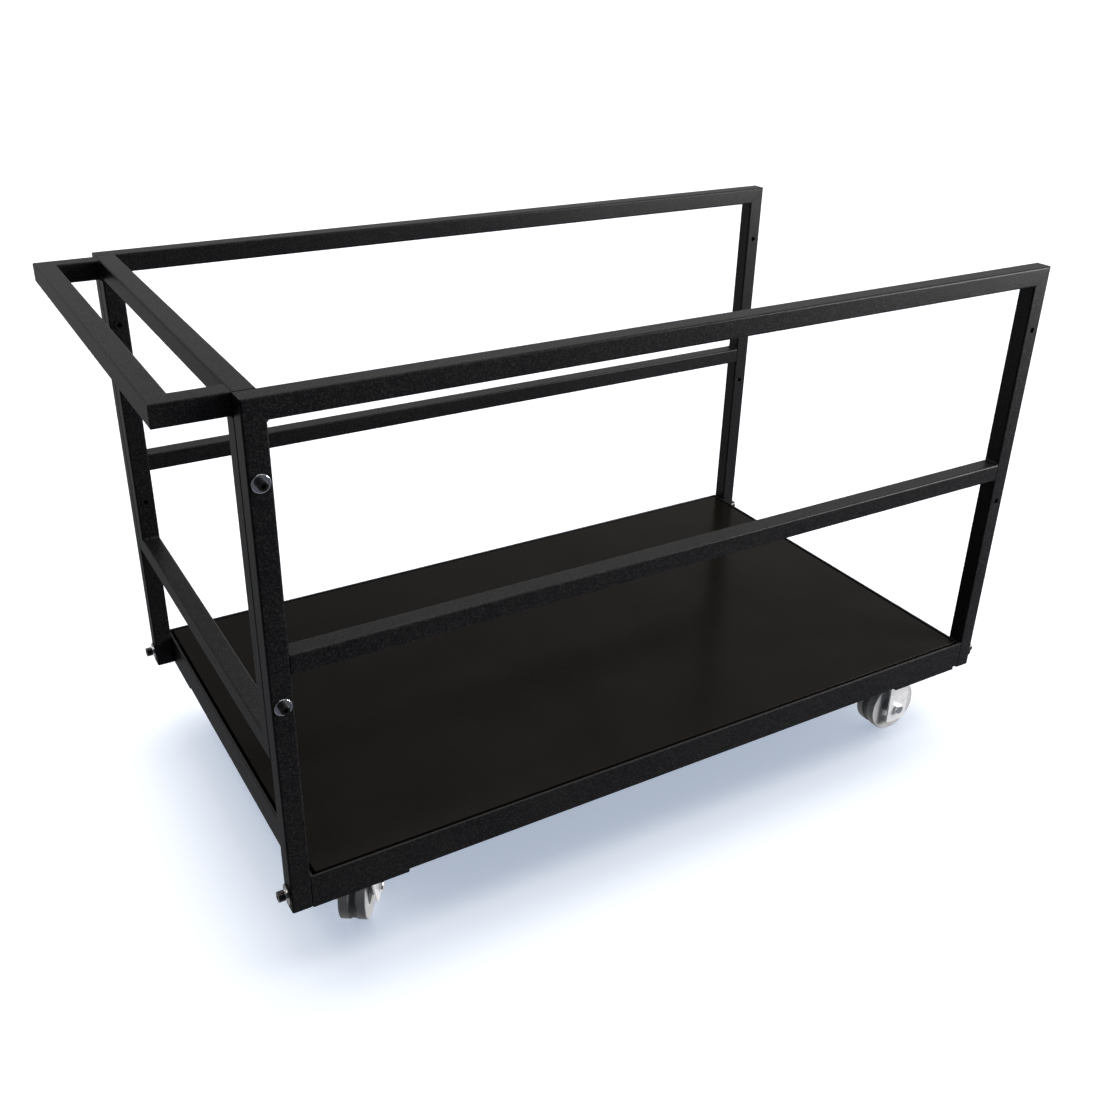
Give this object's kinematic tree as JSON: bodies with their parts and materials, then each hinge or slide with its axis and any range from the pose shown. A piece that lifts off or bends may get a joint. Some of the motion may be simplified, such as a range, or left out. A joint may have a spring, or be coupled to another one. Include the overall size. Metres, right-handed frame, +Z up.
{
  "type": "platform cart",
  "caption": "Knock-down platform transport cart: tubular side frames and push handle on an angle-iron deck with swivel and fixed casters.",
  "frame": {"origin": "on the floor, under the middle of the overall size", "axes": "+X along the cart from the push handle towards the open end, +Y across it, +Z up"},
  "size_m": [1.4442, 0.772, 0.884],
  "materials": {
    "powder_coat": "black powder coat with a fine texture",
    "deck_film": "smooth brown-black phenolic film on plywood, satin",
    "black_steel": "black-finished steel, semi-gloss",
    "zinc_plate": "bright zinc plate",
    "bearing_steel": "ground steel",
    "grey_tyre": "matt grey non-marking rubber",
    "grey_hub": "light grey moulded nylon"
  },
  "bodies": {
    "frame": {"near_handle_post": "powder_coat", "near_open_post": "powder_coat", "near_top_rail": "powder_coat", "near_mid_rail": "powder_coat", "far_handle_post": "powder_coat", "far_open_post": "powder_coat", "far_top_rail": "powder_coat", "far_mid_rail": "powder_coat", "push_crossbar": "powder_coat", "near_push_post": "powder_coat", "far_push_post": "powder_coat", "push_lower_rail": "powder_coat", "near_handle_arm": "powder_coat", "far_handle_arm": "powder_coat", "handle_grip_bar": "powder_coat", "near_base_angle": "powder_coat", "far_base_angle": "powder_coat", "handle_base_angle": "powder_coat", "open_base_angle": "powder_coat", "deck_bearer_1": "powder_coat", "deck_bearer_2": "powder_coat", "deck_bearer_3": "powder_coat", "deck_bearer_4": "powder_coat", "caster_mounting_plates": "powder_coat", "rivet_nuts": "powder_coat", "deck_board": "deck_film", "side_screws": "black_steel", "base_bolts": "black_steel", "base_washers": "black_steel", "side_washers": "zinc_plate", "base_nuts": "zinc_plate", "base_spring_washers": "zinc_plate", "caster_bolts": "zinc_plate", "caster_nuts": "zinc_plate", "near_swivel_top_plate": "zinc_plate", "far_swivel_top_plate": "zinc_plate", "near_swivel_kingpin": "zinc_plate", "far_swivel_kingpin": "zinc_plate", "near_fixed_bracket": "zinc_plate", "far_fixed_bracket": "zinc_plate", "fixed_axle_bolts": "zinc_plate", "fixed_axle_nuts": "zinc_plate", "swivel_balls": "bearing_steel", "fixed_axle_sleeves": "bearing_steel"},
    "near_swivel": {"near_swivel_fork": "zinc_plate", "near_swivel_axle_bolt": "zinc_plate", "near_swivel_axle_nut": "zinc_plate", "near_swivel_axle_sleeve": "bearing_steel"},
    "near_swivel_wheel": {"near_swivel_hub": "grey_hub", "near_swivel_tyre": "grey_tyre"},
    "near_fixed_wheel": {"near_fixed_hub": "grey_hub", "near_fixed_tyre": "grey_tyre"},
    "far_swivel": {"far_swivel_fork": "zinc_plate", "far_swivel_axle_bolt": "zinc_plate", "far_swivel_axle_nut": "zinc_plate", "far_swivel_axle_sleeve": "bearing_steel"},
    "far_swivel_wheel": {"far_swivel_hub": "grey_hub", "far_swivel_tyre": "grey_tyre"},
    "far_fixed_wheel": {"far_fixed_hub": "grey_hub", "far_fixed_tyre": "grey_tyre"}
  },
  "joints": [
    {"name": "near_swivel_turn", "type": "hinge", "parent": "frame", "child": "near_swivel", "pos_m": [-0.51705, -0.313, 0.11], "axis": [0, 0, 1], "continuous": true},
    {"name": "near_swivel_wheel_spin", "type": "hinge", "parent": "near_swivel", "child": "near_swivel_wheel", "pos_m": [-0.50017, -0.287, 0.051], "axis": [-0.8387, 0.5446, 0], "continuous": true},
    {"name": "far_swivel_turn", "type": "hinge", "parent": "frame", "child": "far_swivel", "pos_m": [-0.51705, 0.313, 0.11], "axis": [0, 0, 1], "continuous": true},
    {"name": "far_swivel_wheel_spin", "type": "hinge", "parent": "far_swivel", "child": "far_swivel_wheel", "pos_m": [-0.49229, 0.29434, 0.051], "axis": [0.6018, 0.7986, 0], "continuous": true},
    {"name": "near_fixed_wheel_spin", "type": "hinge", "parent": "frame", "child": "near_fixed_wheel", "pos_m": [0.56945, -0.313, 0.051], "axis": [0, 1, 0], "continuous": true},
    {"name": "far_fixed_wheel_spin", "type": "hinge", "parent": "frame", "child": "far_fixed_wheel", "pos_m": [0.56945, 0.313, 0.051], "axis": [0, 1, 0], "continuous": true}
  ]
}
